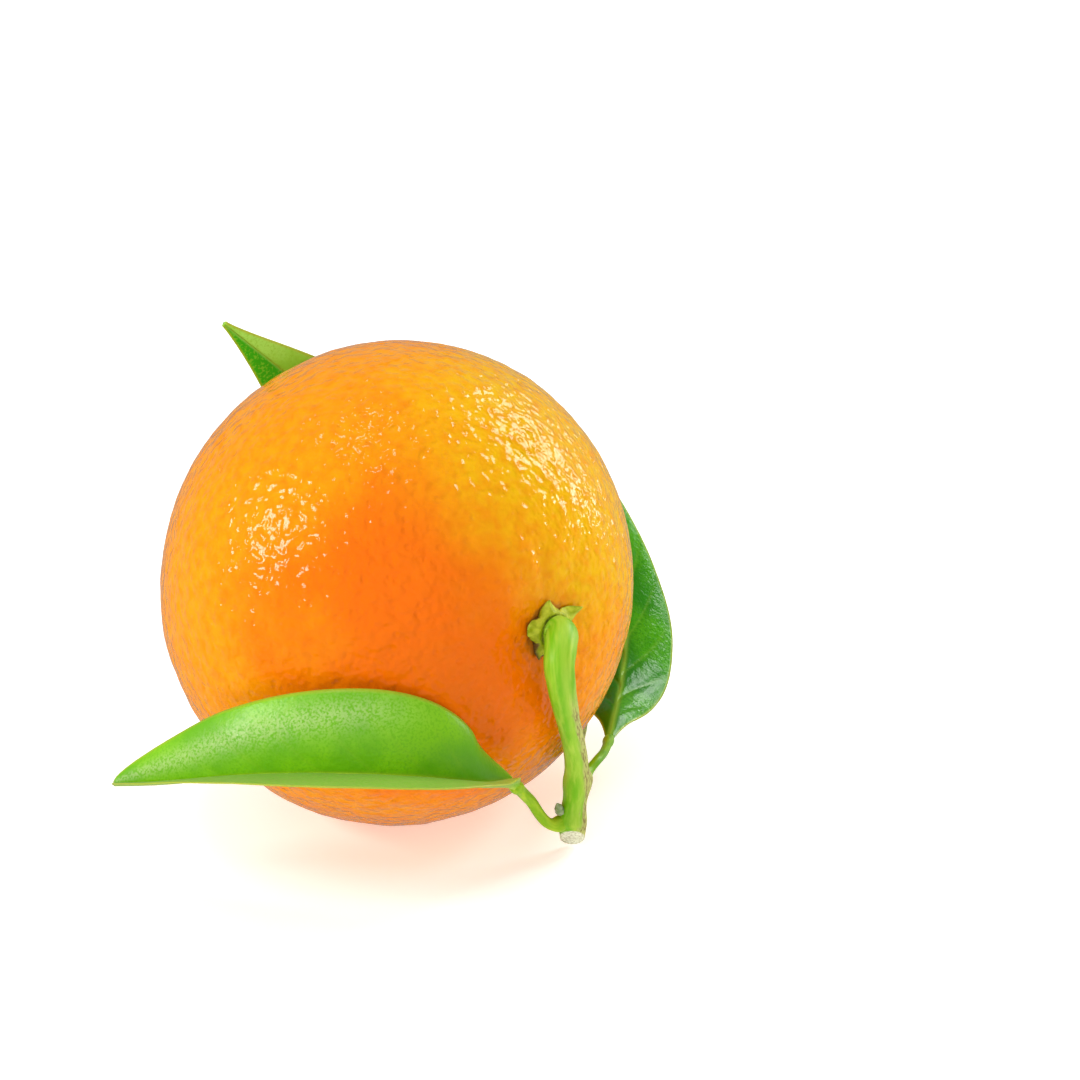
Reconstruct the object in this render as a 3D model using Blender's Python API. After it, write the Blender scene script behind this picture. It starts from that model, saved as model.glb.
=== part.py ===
"""A whole tangerine with its stalk and three leaves, lying on its side.

Lengths are in metres, +Z is up, and the origin is the middle of the small flattened patch of skin
that the fruit rests on.  The stem end faces the front right.  Everything that grows from the fruit
is placed by stops around it: a direction from the fruit's centre and a clearance above its skin.
"""

import math
from collections import namedtuple

import bmesh
import bpy
import numpy as np
from mathutils import Vector

MM = 0.001

# The fruit: a slightly flat ball whose stem end points to the front right.
FRUIT_DIAMETER = 66.0 * MM
FRUIT_HEIGHT = 62.0 * MM
STEM_AZIMUTH = -46.0
STEM_ELEVATION = 4.0
FLATTENING = 1.0 * MM
STEM_DIMPLE_DEPTH = 2.0 * MM
STEM_DIMPLE_RADIUS = 8.0 * MM
BLOSSOM_DIMPLE_DEPTH = 1.2 * MM
BLOSSOM_DIMPLE_RADIUS = 6.0 * MM

# Shallow folds fan out of the stem dimple and are deepest at this distance from the stem axis.
FURROWS = 9
FURROW_DEPTH = 0.5 * MM
FURROW_RADIUS = 9.0 * MM
FRUIT_RINGS = 36
FRUIT_SIDES = 72
ON_THE_CUT = 0.0001 * MM

# Touching pieces keep this much air between them.
GAP = 0.3 * MM

# The calyx: a green five-pointed star in the dimple, thick in the middle.
SEPALS = 5
CALYX_RADIUS = 4.4 * MM
CALYX_NOTCH_RADIUS = 3.0 * MM
CALYX_THICKNESS = 1.2 * MM
SEPAL_THICKNESS = 0.5 * MM
SEPAL_TAPER = 1.5
CALYX_TURN = 18.0
CALYX_RINGS = 5
SIDES_PER_SEPAL = 10

# The twig: it leaves the calyx, bends down past the fruit and ends in a cut.
TWIG_LENGTH = 38.0 * MM
TWIG_THICKNESS = 3.1 * MM
TWIG_ROOT_THICKNESS = 4.6 * MM
TWIG_ROOT_TAPER = 17.0 * MM
TWIG_RISE = 0.7 * MM
NODE_SWELLING = 0.35 * MM
NODE_SPREAD = 2.2 * MM
LEFT_NODE_FROM_CUT = 2.6 * MM
RIGHT_NODE_FROM_CUT = 8.6 * MM
SHOOT_NODE_FROM_CALYX = 25.7 * MM

# The twig ends in a slanting cut that faces the front: its near side is this much shorter, for each
# unit of the radius, and the slant builds up over the last stretch of the twig.
CUT_SLANT = 1.2
CUT_STRETCH = 4.0 * MM
CUT_FACES = (-90.0, 22.0)
TWIG_STOPS = (
    (-48.7, 2.6, 2.3),
    (-51.0, -0.5, 3.6),
    (-49.9, -6.5, 3.5),
    (-47.3, -13.0, 3.1),
    (-42.7, -22.0, 3.1),
    (-38.8, -29.5, 3.9),
    (-36.5, -36.0, 5.4),
    (-36.0, -41.5, 7.2),
    (-36.0, -45.5, 9.5),
)

# The side shoot: it runs round the back of the fruit and carries the back leaf.
SHOOT_LENGTH = 48.0 * MM
SHOOT_THICKNESS = 2.2 * MM
SHOOT_TIP_THICKNESS = 1.5 * MM
BACK_NODE_FROM_TIP = 1.6 * MM
SHOOT_STOPS = (
    (-28.5, -38.7, 3.1),
    (-13.5, -45.0, 3.2),
    (10.5, -46.5, 3.4),
    (28.0, -42.0, 5.4),
    (41.0, -35.5, 6.4),
    (51.5, -29.0, 7.4),
)

# A branch leaves its stalk squarely for this distance before it turns towards its stops.
BRANCH_START = 0.4 * MM

# A blade is widest where its share of the length, raised to the lean, is a half.
LEAF_THICKNESS = 0.5 * MM
LEAF_EDGE_HALF_WIDTH = 0.45 * MM
BLADE_LEAN = 0.8

# Each leaf has a route that starts on its stalk and runs through the petiole's stops and the blade's.
# A wider blade stands further off the fruit: the stand-off is the share of half its width that is added
# to the clearance of the blade's stops.  The blade faces one direction at its base and another at its
# tip, and its two halves fold up by these angles along the midrib and curl back towards their edges.
Leaf = namedtuple(
    "Leaf",
    "name petiole_length petiole_thickness length width base_power tip_power petiole_stops blade_stops"
    " stand_off base_faces tip_faces left_fold left_curl right_fold right_curl",
)
LEFT_LEAF = Leaf(
    name="left",
    petiole_length=12.0 * MM,
    petiole_thickness=1.7 * MM,
    length=64.5 * MM,
    width=22.4 * MM,
    base_power=1.5,
    tip_power=0.72,
    petiole_stops=(
        (-49.5, -39.5, 3.6),
        (-58.0, -32.0, 3.2),
    ),
    blade_stops=(
        (-71.5, -23.5, 1.0),
        (-79.5, -19.5, 2.0),
        (-98.0, -15.5, 3.4),
        (-116.5, -16.5, 4.7),
        (-135.0, -20.5, 7.7),
        (-146.0, -22.0, 11.4),
    ),
    stand_off=0.4,
    base_faces=(-90.0, 62.0),
    tip_faces=(-90.0, 66.0),
    left_fold=45.0,
    left_curl=5.0,
    right_fold=58.0,
    right_curl=34.0,
)
RIGHT_LEAF = Leaf(
    name="right",
    petiole_length=13.0 * MM,
    petiole_thickness=1.4 * MM,
    length=52.0 * MM,
    width=14.8 * MM,
    base_power=1.9,
    tip_power=0.75,
    petiole_stops=(
        (-27.0, -34.0, 4.5),
        (-17.0, -36.0, 4.1),
        (-7.0, -37.0, 3.9),
    ),
    blade_stops=(
        (4.0, -34.5, 2.0),
        (15.0, -32.0, 2.9),
        (26.0, -26.5, 4.4),
        (32.5, -20.5, 5.5),
        (40.5, -12.5, 6.4),
        (48.5, -2.5, 7.7),
        (55.0, 5.5, 9.3),
    ),
    stand_off=0.2,
    base_faces=(-90.0, 70.0),
    tip_faces=(-90.0, 40.0),
    left_fold=-15.0,
    left_curl=25.0,
    right_fold=-15.0,
    right_curl=25.0,
)
BACK_LEAF = Leaf(
    name="back",
    petiole_length=11.0 * MM,
    petiole_thickness=1.4 * MM,
    length=64.5 * MM,
    width=21.0 * MM,
    base_power=1.0,
    tip_power=1.25,
    petiole_stops=(
        (66.5, -23.5, 5.5),
        (75.5, -15.0, 4.6),
    ),
    blade_stops=(
        (88.5, -2.5, 1.9),
        (103.5, 16.0, 1.9),
        (119.5, 32.0, 3.4),
        (135.5, 40.5, 10.0),
    ),
    stand_off=0.2,
    base_faces=(-110.0, 22.0),
    tip_faces=(-90.0, 15.0),
    left_fold=20.0,
    left_curl=14.0,
    right_fold=20.0,
    right_curl=14.0,
)

# The buds: one above the left petiole, leaning out from the twig, and one at the end of the side shoot.
BUD_LENGTH = 1.9 * MM
BUD_WIDTH = 1.2 * MM
BUD_FROM_PETIOLE = 1.6 * MM
BUD_LEAN = 0.4
BUD_ROUNDNESS = 0.8
BUD_FOOT_SHARE = 0.3
TIP_BUD_LENGTH = 3.0 * MM
BUD_RINGS = 6
BUD_SIDES = 10

# How finely the pieces are meshed.
TUBE_SIDES = 12
TUBE_STEP = 1.0 * MM
STEPS_BETWEEN_STOPS = 12
HEADING_SPAN = 0.4 * MM
BLADE_ROWS = 26
HALF_BLADE_COLUMNS = 5


def clear_scene():
    for thing in list(bpy.data.objects):
        bpy.data.objects.remove(thing, do_unlink=True)


def material(name, colour, roughness):
    made = bpy.data.materials.new(name)
    made.use_nodes = True
    shader = made.node_tree.nodes["Principled BSDF"]
    shader.inputs["Base Color"].default_value = (*colour, 1.0)
    shader.inputs["Roughness"].default_value = roughness
    shader.inputs["Metallic"].default_value = 0.0
    return made


def add_object(name, mesh, look):
    mesh.shade_smooth()
    mesh.materials.append(look)
    thing = bpy.data.objects.new(name, mesh)
    bpy.context.scene.collection.objects.link(thing)
    return thing


def mesh_from(name, points, faces):
    mesh = bpy.data.meshes.new(name)
    mesh.from_pydata([tuple(point) for point in points], [], faces)
    mesh.update()
    return mesh


def direction(azimuth, elevation):
    """The unit vector at an azimuth from +X towards +Y and an elevation above level, in degrees."""
    turn, rise = math.radians(azimuth), math.radians(elevation)
    return Vector((math.cos(rise) * math.cos(turn), math.cos(rise) * math.sin(turn), math.sin(rise)))


STEM_AXIS = direction(STEM_AZIMUTH, STEM_ELEVATION)
STEM_TURN = STEM_AXIS.to_track_quat("Z", "Y")


def fruit_centre():
    """Over the origin, at the height that leaves the lowest skin pressed flat."""
    wide = (FRUIT_DIAMETER / 2) ** 2 * (1 - STEM_AXIS.z**2)
    high = (FRUIT_HEIGHT / 2) ** 2 * STEM_AXIS.z**2
    return Vector((0, 0, math.sqrt(wide + high) - FLATTENING))


CENTRE = fruit_centre()


def reach(way):
    """How far the plain skin is from the centre in a direction."""
    along = way.dot(STEM_AXIS)
    return 1 / math.sqrt((1 - along**2) / (FRUIT_DIAMETER / 2) ** 2 + along**2 / (FRUIT_HEIGHT / 2) ** 2)


def beside_fruit(azimuth, elevation, clearance_mm):
    way = direction(azimuth, elevation)
    return CENTRE + way * (reach(way) + clearance_mm * MM)


def stem_end_height(radius):
    """How high the skin at the stem end is along the stem axis, at a distance from that axis."""
    slope = math.sqrt(1 - (radius / (FRUIT_DIAMETER / 2)) ** 2)
    return slope * FRUIT_HEIGHT / 2 - STEM_DIMPLE_DEPTH * math.exp(-((radius / STEM_DIMPLE_RADIUS) ** 2))


def blossom_end_height(radius):
    slope = math.sqrt(1 - (radius / (FRUIT_DIAMETER / 2)) ** 2)
    dimple = BLOSSOM_DIMPLE_DEPTH * math.exp(-((radius / BLOSSOM_DIMPLE_RADIUS) ** 2))
    return dimple - slope * FRUIT_HEIGHT / 2


def furrow(radius, turn):
    """The depth of the folds that run out of the stem dimple."""
    strength = math.exp(-(((radius - FURROW_RADIUS) / (FURROW_RADIUS / 2)) ** 2))
    return FURROW_DEPTH * strength * (0.5 + 0.5 * math.cos(FURROWS * turn)) ** 2


class Route:
    """A smooth line through its stops, measured by the distance along it."""

    def __init__(self, stops):
        stops = np.array([tuple(stop) for stop in stops])
        times = np.concatenate([[0], np.cumsum(np.linalg.norm(np.diff(stops, axis=0), axis=1))])
        slopes = np.gradient(stops, times, axis=0)
        points = [stops[0]]
        for i in range(len(stops) - 1):
            span = times[i + 1] - times[i]
            for step in range(1, STEPS_BETWEEN_STOPS + 1):
                t = step / STEPS_BETWEEN_STOPS
                points.append(
                    (2 * t**3 - 3 * t**2 + 1) * stops[i]
                    + (t**3 - 2 * t**2 + t) * span * slopes[i]
                    + (3 * t**2 - 2 * t**3) * stops[i + 1]
                    + (t**3 - t**2) * span * slopes[i + 1]
                )
        self.points = np.array(points)
        steps = np.linalg.norm(np.diff(self.points, axis=0), axis=1)
        self.distances = np.concatenate([[0], np.cumsum(steps)])

    def place(self, distance):
        """The point at a distance from the start.  Past the last stop the line runs straight on."""
        beyond = max(0.0, distance - self.distances[-1])
        if beyond:
            last = self.points[-1] - self.points[-2]
            return Vector(self.points[-1] + last / np.linalg.norm(last) * beyond)
        along = [np.interp(distance, self.distances, self.points[:, axis]) for axis in range(3)]
        return Vector([float(value) for value in along])

    def heading(self, distance):
        """The direction of travel at a distance, taken across a short span either side of it."""
        before = max(0.0, distance - HEADING_SPAN)
        return (self.place(distance + HEADING_SPAN) - self.place(before)).normalized()


def no_slant(_distance):
    return 0.0


def add_tube(name, route, start, end, radius_at, look, slant_at=no_slant):
    """A round stalk along a stretch of a route, with flat ends.

    Its radius is given by the distance, and so is how far it leans back on the side that faces the front.
    """
    front = direction(*CUT_FACES)
    rows = max(3, math.ceil((end - start) / TUBE_STEP)) + 1
    points = []
    side = route.heading(start).orthogonal().normalized()
    for row in range(rows):
        distance = start + (end - start) * row / (rows - 1)
        heading = route.heading(distance)
        side = (side - heading * side.dot(heading)).normalized()
        across = heading.cross(side)
        middle = route.place(distance)
        for corner in range(TUBE_SIDES):
            turn = 2 * math.pi * corner / TUBE_SIDES
            spoke = side * math.cos(turn) + across * math.sin(turn)
            leaning = spoke - heading * slant_at(distance) * spoke.dot(front)
            points.append(middle + leaning * radius_at(distance))
    faces = []
    for row in range(rows - 1):
        for corner in range(TUBE_SIDES):
            beside = (corner + 1) % TUBE_SIDES
            a, b = row * TUBE_SIDES + corner, row * TUBE_SIDES + beside
            faces.append((a, b, b + TUBE_SIDES, a + TUBE_SIDES))
    last = (rows - 1) * TUBE_SIDES
    faces.append(tuple(reversed(range(TUBE_SIDES))))
    faces.append(tuple(range(last, last + TUBE_SIDES)))
    return add_object(name, mesh_from(name, points, faces), look)


def add_fruit(look):
    points = [Vector((0, 0, stem_end_height(0)))]
    for ring in range(1, FRUIT_RINGS):
        polar = math.pi * ring / FRUIT_RINGS
        radius = FRUIT_DIAMETER / 2 * math.sin(polar)
        at_stem_end = polar < math.pi / 2
        for side in range(FRUIT_SIDES):
            turn = 2 * math.pi * side / FRUIT_SIDES
            if at_stem_end:
                height = stem_end_height(radius) - furrow(radius, turn)
            else:
                height = blossom_end_height(radius)
            points.append(Vector((radius * math.cos(turn), radius * math.sin(turn), height)))
    points.append(Vector((0, 0, blossom_end_height(0))))
    pole = len(points) - 1
    faces = []
    for side in range(FRUIT_SIDES):
        beside = (side + 1) % FRUIT_SIDES
        faces.append((0, 1 + side, 1 + beside))
        for ring in range(FRUIT_RINGS - 2):
            row = 1 + ring * FRUIT_SIDES
            under = row + FRUIT_SIDES
            faces.append((row + side, under + side, under + beside, row + beside))
        last = 1 + (FRUIT_RINGS - 2) * FRUIT_SIDES
        faces.append((last + side, pole, last + beside))
    mesh = mesh_from("fruit", [CENTRE + STEM_TURN @ point for point in points], faces)
    flatten_underside(mesh)
    add_object("fruit", mesh, look)


def flatten_underside(mesh):
    """Cut the skin off level with the surface that the fruit rests on."""
    work = bmesh.new()
    work.from_mesh(mesh)
    everything = [*work.verts, *work.edges, *work.faces]
    cut = bmesh.ops.bisect_plane(
        work, geom=everything, dist=ON_THE_CUT, plane_co=(0, 0, 0), plane_no=(0, 0, -1), clear_outer=True
    )
    rim = [piece for piece in cut["geom_cut"] if isinstance(piece, bmesh.types.BMEdge)]
    bmesh.ops.contextual_create(work, geom=rim)
    bmesh.ops.recalc_face_normals(work, faces=work.faces)
    work.to_mesh(mesh)
    work.free()


def sepal_reach(turn):
    """How far the calyx reaches from its middle in the direction of a turn about the stem axis."""
    share = (math.degrees(turn) - CALYX_TURN) * SEPALS / 360 % 1
    from_tip = 2 * min(share, 1 - share)
    return CALYX_NOTCH_RADIUS + (CALYX_RADIUS - CALYX_NOTCH_RADIUS) * (1 - from_tip) ** SEPAL_TAPER


def add_calyx(look):
    """The underside follows the skin one gap above it, and the top thins out towards the sepal tips."""
    sides = SEPALS * SIDES_PER_SEPAL
    lower, upper = [], []
    for ring in range(CALYX_RINGS + 1):
        share = ring / CALYX_RINGS
        for side in range(sides if ring else 1):
            turn = 2 * math.pi * side / sides
            radius = share * sepal_reach(turn)
            base = stem_end_height(radius) + GAP
            thickness = SEPAL_THICKNESS + (CALYX_THICKNESS - SEPAL_THICKNESS) * (1 - share**2)
            flat = (radius * math.cos(turn), radius * math.sin(turn))
            lower.append(Vector((*flat, base)))
            upper.append(Vector((*flat, base + thickness)))
    above = len(lower)
    faces = []
    for side in range(sides):
        beside = (side + 1) % sides
        faces.append((0, 1 + beside, 1 + side))
        faces.append((above, above + 1 + side, above + 1 + beside))
        for ring in range(CALYX_RINGS - 1):
            row = 1 + ring * sides
            a, b = row + side, row + beside
            faces.append((a, b, b + sides, a + sides))
            faces.append((above + a, above + a + sides, above + b + sides, above + b))
        rim = 1 + (CALYX_RINGS - 1) * sides
        faces.append((rim + side, rim + beside, above + rim + beside, above + rim + side))
    points = [CENTRE + STEM_TURN @ point for point in lower + upper]
    add_object("calyx", mesh_from("calyx", points, faces), look)


def twig_radius(distance):
    """Thick at the calyx, slim after that, and swollen a little at each leaf node."""
    root = max(0.0, 1 - distance / TWIG_ROOT_TAPER)
    radius = (TWIG_THICKNESS + (TWIG_ROOT_THICKNESS - TWIG_THICKNESS) * root) / 2
    for from_cut in (LEFT_NODE_FROM_CUT, RIGHT_NODE_FROM_CUT):
        away = (TWIG_LENGTH - from_cut - distance) / NODE_SPREAD
        radius += NODE_SWELLING * math.exp(-(away**2))
    return radius


def twig_slant(distance):
    """Nothing until the last stretch of the twig, and the whole slant at the cut."""
    share = max(0.0, 1 - (TWIG_LENGTH - distance) / CUT_STRETCH)
    return CUT_SLANT * share**2


def shoot_radius(distance):
    share = min(1.0, distance / SHOOT_LENGTH)
    return (SHOOT_THICKNESS + (SHOOT_TIP_THICKNESS - SHOOT_THICKNESS) * share) / 2


def twig_route():
    calyx_top = stem_end_height(0) + GAP + CALYX_THICKNESS
    start = CENTRE + STEM_AXIS * (calyx_top + GAP)
    return Route([start, start + STEM_AXIS * TWIG_RISE, *(beside_fruit(*stop) for stop in TWIG_STOPS)])


def leaf_stops(leaf):
    """All the stops of a leaf, with the blade's clearances grown by its stand-off."""
    added_mm = leaf.stand_off * leaf.width / 2 / MM
    blade = [(*stop[:2], stop[2] + added_mm) for stop in leaf.blade_stops]
    return [*leaf.petiole_stops, *blade]


def branch_route(parent, distance, parent_radius, stops):
    """A route that leaves a stalk square to its side and then heads for its stops."""
    root = parent.place(distance)
    heading = parent.heading(distance)
    side = beside_fruit(*stops[0]) - root
    side = (side - heading * side.dot(heading)).normalized()
    start = root + side * (parent_radius + GAP)
    return Route([start, start + side * BRANCH_START, *(beside_fruit(*stop) for stop in stops)])


def blade_half_width(leaf, share):
    """Half the blade's width at a share of its length: widest near two fifths, pointed at the tip."""
    along = share**BLADE_LEAN
    wave = math.sin(math.pi * along)
    power = leaf.tip_power if along > 0.5 else leaf.base_power
    outline = max(0.0, wave) ** power
    return leaf.width / 2 * outline + LEAF_EDGE_HALF_WIDTH * (1 - outline)


def half_blade_arc(half_width, fold, curl, share):
    """Where a point lies beside and above the midrib, on a half blade that folds up and curls back."""
    start, bend = math.radians(fold), math.radians(curl)
    angle = start - bend * share
    beside = half_width * (math.sin(start) - math.sin(angle)) / bend
    above = half_width * (math.cos(angle) - math.cos(start)) / bend
    return beside, above


def add_blade(leaf, route, look):
    start = leaf.petiole_length + GAP
    base_up, tip_up = direction(*leaf.base_faces), direction(*leaf.tip_faces)
    columns = 2 * HALF_BLADE_COLUMNS + 1
    points = []
    for row in range(BLADE_ROWS + 1):
        share = row / BLADE_ROWS
        distance = start + leaf.length * share
        middle, heading = route.place(distance), route.heading(distance)
        up = base_up.lerp(tip_up, share)
        up = (up - heading * up.dot(heading)).normalized()
        left = up.cross(heading)
        half_width = blade_half_width(leaf, share)
        for column in range(columns):
            offset = (HALF_BLADE_COLUMNS - column) / HALF_BLADE_COLUMNS
            if offset > 0:
                beside, above = half_blade_arc(half_width, leaf.left_fold, leaf.left_curl, abs(offset))
            else:
                beside, above = half_blade_arc(half_width, leaf.right_fold, leaf.right_curl, abs(offset))
            points.append(middle + left * math.copysign(beside, offset) + up * above)
    faces = []
    for row in range(BLADE_ROWS):
        for column in range(columns - 1):
            a = row * columns + column
            faces.append((a, a + 1, a + 1 + columns, a + columns))
    blade = add_object(f"{leaf.name}_leaf", mesh_from(f"{leaf.name}_leaf", points, faces), look)
    solid = blade.modifiers.new("thickness", "SOLIDIFY")
    solid.thickness = LEAF_THICKNESS
    solid.offset = 0.0


def add_leaf(leaf, parent, distance, parent_radius, petiole_look, blade_look):
    """A petiole from the side of its stalk, and the blade that carries on from it."""
    own_radius = leaf.petiole_thickness / 2
    route = branch_route(parent, distance, parent_radius, leaf_stops(leaf))
    add_tube(f"{leaf.name}_petiole", route, 0.0, leaf.petiole_length, lambda _: own_radius, petiole_look)
    add_blade(leaf, route, blade_look)
    return route


def add_bud(name, foot, way, length, width, look):
    """A small pointed bud, turned about its own axis."""
    side = way.orthogonal().normalized()
    across = way.cross(side)
    points = []
    for ring in range(BUD_RINGS):
        share = ring / BUD_RINGS
        profile = math.sin(math.pi * (BUD_FOOT_SHARE + (1 - BUD_FOOT_SHARE) * share))
        radius = width / 2 * profile**BUD_ROUNDNESS
        for corner in range(BUD_SIDES):
            turn = 2 * math.pi * corner / BUD_SIDES
            spoke = side * math.cos(turn) + across * math.sin(turn)
            points.append(foot + way * length * share + spoke * radius)
    points.append(foot + way * length)
    point = BUD_RINGS * BUD_SIDES
    top = point - BUD_SIDES
    faces = [tuple(reversed(range(BUD_SIDES)))]
    for corner in range(BUD_SIDES):
        beside = (corner + 1) % BUD_SIDES
        for row in range(0, top, BUD_SIDES):
            a, b = row + corner, row + beside
            faces.append((a, b, b + BUD_SIDES, a + BUD_SIDES))
        faces.append((top + corner, top + beside, point))
    add_object(name, mesh_from(name, points, faces), look)


def add_axillary_bud(twig, distance, petiole_route, look):
    """The bud that sits in the angle between the twig and the left petiole."""
    place = distance - BUD_FROM_PETIOLE
    heading = twig.heading(place)
    out = petiole_route.place(0.0) - twig.place(distance)
    out = (out - heading * out.dot(heading)).normalized()
    way = (out * BUD_LEAN - heading).normalized()
    foot = twig.place(place) + out * (twig_radius(place) + GAP + BUD_WIDTH / 2 * way.dot(-heading))
    add_bud("axillary_bud", foot, way, BUD_LENGTH, BUD_WIDTH, look)


def main():
    clear_scene()
    orange = material("orange_peel", (0.95, 0.33, 0.02), 0.35)
    calyx_green = material("calyx_green", (0.33, 0.36, 0.04), 0.6)
    bark = material("green_bark", (0.30, 0.45, 0.08), 0.55)
    petiole_green = material("petiole_green", (0.32, 0.50, 0.05), 0.45)
    leaf_green = material("leaf_green", (0.14, 0.40, 0.02), 0.35)
    bud_green = material("bud_green", (0.28, 0.38, 0.16), 0.6)

    add_fruit(orange)
    add_calyx(calyx_green)

    twig = twig_route()
    add_tube("twig", twig, 0.0, TWIG_LENGTH, twig_radius, bark, twig_slant)
    left_node = TWIG_LENGTH - LEFT_NODE_FROM_CUT
    left_route = add_leaf(LEFT_LEAF, twig, left_node, twig_radius(left_node), petiole_green, leaf_green)
    right_node = TWIG_LENGTH - RIGHT_NODE_FROM_CUT
    add_leaf(RIGHT_LEAF, twig, right_node, twig_radius(right_node), petiole_green, leaf_green)
    add_axillary_bud(twig, left_node, left_route, bud_green)

    shoot_root_radius = twig_radius(SHOOT_NODE_FROM_CALYX)
    shoot = branch_route(twig, SHOOT_NODE_FROM_CALYX, shoot_root_radius, SHOOT_STOPS)
    add_tube("side_shoot", shoot, 0.0, SHOOT_LENGTH, shoot_radius, bark)
    back_node = SHOOT_LENGTH - BACK_NODE_FROM_TIP
    add_leaf(BACK_LEAF, shoot, back_node, shoot_radius(back_node), petiole_green, leaf_green)
    tip = shoot.place(SHOOT_LENGTH + GAP)
    add_bud("tip_bud", tip, shoot.heading(SHOOT_LENGTH), TIP_BUD_LENGTH, SHOOT_TIP_THICKNESS, bud_green)


main()
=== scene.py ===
"""A whole tangerine with its calyx, cut twig and three leaves, lying on its side on a pale surface.

Lengths are in metres and angles in degrees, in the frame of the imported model: +Z is up and the
origin is under the middle of the fruit.  The stem end faces the front right.  Each piece stands for
the CAD node of its name and adds what the real plant shows: pitted peel, veined blades, streaked
bark and scaly buds.
"""

import math
from collections import namedtuple

import bpy
import numpy as np
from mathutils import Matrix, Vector


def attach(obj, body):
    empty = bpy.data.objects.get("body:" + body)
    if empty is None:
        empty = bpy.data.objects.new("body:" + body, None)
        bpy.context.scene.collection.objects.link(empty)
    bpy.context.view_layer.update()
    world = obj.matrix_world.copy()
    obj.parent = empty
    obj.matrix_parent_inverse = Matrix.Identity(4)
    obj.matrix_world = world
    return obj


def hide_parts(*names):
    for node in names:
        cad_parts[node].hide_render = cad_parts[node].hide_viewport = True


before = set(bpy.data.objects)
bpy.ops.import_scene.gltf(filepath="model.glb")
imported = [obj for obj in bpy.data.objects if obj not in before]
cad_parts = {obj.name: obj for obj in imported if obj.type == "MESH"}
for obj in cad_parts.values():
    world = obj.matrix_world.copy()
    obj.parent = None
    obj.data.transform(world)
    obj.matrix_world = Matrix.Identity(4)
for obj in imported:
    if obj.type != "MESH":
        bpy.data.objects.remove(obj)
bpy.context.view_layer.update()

MM = 0.001

# ---------------------------------------------------------------- sizes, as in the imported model

FRUIT_RADIUS = 33.0 * MM
FRUIT_HALF_HEIGHT = 31.0 * MM
FLATTENING = 1.0 * MM
STEM_DIMPLE_DEPTH = 2.0 * MM
STEM_DIMPLE_RADIUS = 8.0 * MM
BLOSSOM_DIMPLE_DEPTH = 1.2 * MM
BLOSSOM_DIMPLE_RADIUS = 6.0 * MM
FURROWS = 9
FURROW_DEPTH = 0.5 * MM
FURROW_RADIUS = 9.0 * MM
GAP = 0.3 * MM
CALYX_THICKNESS = 1.2 * MM

TWIG_LENGTH = 38.0 * MM
TWIG_THICKNESS = 3.1 * MM
TWIG_ROOT_THICKNESS = 4.6 * MM
TWIG_ROOT_TAPER = 17.0 * MM
TWIG_RISE = 0.7 * MM
NODE_SWELLING = 0.35 * MM
NODE_SPREAD = 2.2 * MM
CUT_SLANT = 1.2
CUT_STRETCH = 4.0 * MM
LEFT_NODE = TWIG_LENGTH - 2.6 * MM
RIGHT_NODE = TWIG_LENGTH - 8.6 * MM
SHOOT_NODE = 25.7 * MM
TWIG_STOPS = (
    (-48.7, 2.6, 2.3),
    (-51.0, -0.5, 3.6),
    (-49.9, -6.5, 3.5),
    (-47.3, -13.0, 3.1),
    (-42.7, -22.0, 3.1),
    (-38.8, -29.5, 3.9),
    (-36.5, -36.0, 5.4),
    (-36.0, -41.5, 7.2),
    (-36.0, -45.5, 9.5),
)

SHOOT_LENGTH = 48.0 * MM
SHOOT_THICKNESS = 2.2 * MM
SHOOT_TIP_THICKNESS = 1.5 * MM
BACK_NODE = SHOOT_LENGTH - 1.6 * MM
SHOOT_STOPS = (
    (-28.5, -38.7, 3.1),
    (-13.5, -45.0, 3.2),
    (10.5, -46.5, 3.4),
    (28.0, -42.0, 5.4),
    (41.0, -35.5, 6.4),
    (51.5, -29.0, 7.4),
)
BRANCH_START = 0.4 * MM

BUD_LENGTH = 1.9 * MM
BUD_WIDTH = 1.2 * MM
BUD_FROM_PETIOLE = 1.6 * MM
BUD_LEAN = 0.4
TIP_BUD_LENGTH = 3.0 * MM

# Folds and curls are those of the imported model.  The last three fields are how deep the side veins
# are pressed in, how many there are on each side, and how far the edges wave.
Leaf = namedtuple(
    "Leaf",
    "name petiole_length petiole_thickness length width base_power tip_power stops"
    " base_faces tip_faces left_fold left_curl right_fold right_curl vein_depth veins wave",
)
LEFT_LEAF = Leaf(
    name="left",
    petiole_length=12.0 * MM,
    petiole_thickness=1.7 * MM,
    length=64.5 * MM,
    width=22.4 * MM,
    base_power=1.5,
    tip_power=0.72,
    stops=(
        (-49.5, -39.5, 3.6),
        (-58.0, -32.0, 3.2),
        (-71.5, -23.5, 5.5),
        (-79.5, -19.5, 6.5),
        (-98.0, -15.5, 7.9),
        (-116.5, -16.5, 9.2),
        (-135.0, -20.5, 12.2),
        (-146.0, -22.0, 15.9),
    ),
    base_faces=(-90.0, 62.0),
    tip_faces=(-90.0, 66.0),
    left_fold=45.0,
    left_curl=5.0,
    right_fold=58.0,
    right_curl=34.0,
    vein_depth=0.04 * MM,
    veins=9,
    wave=0.15 * MM,
)
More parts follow.
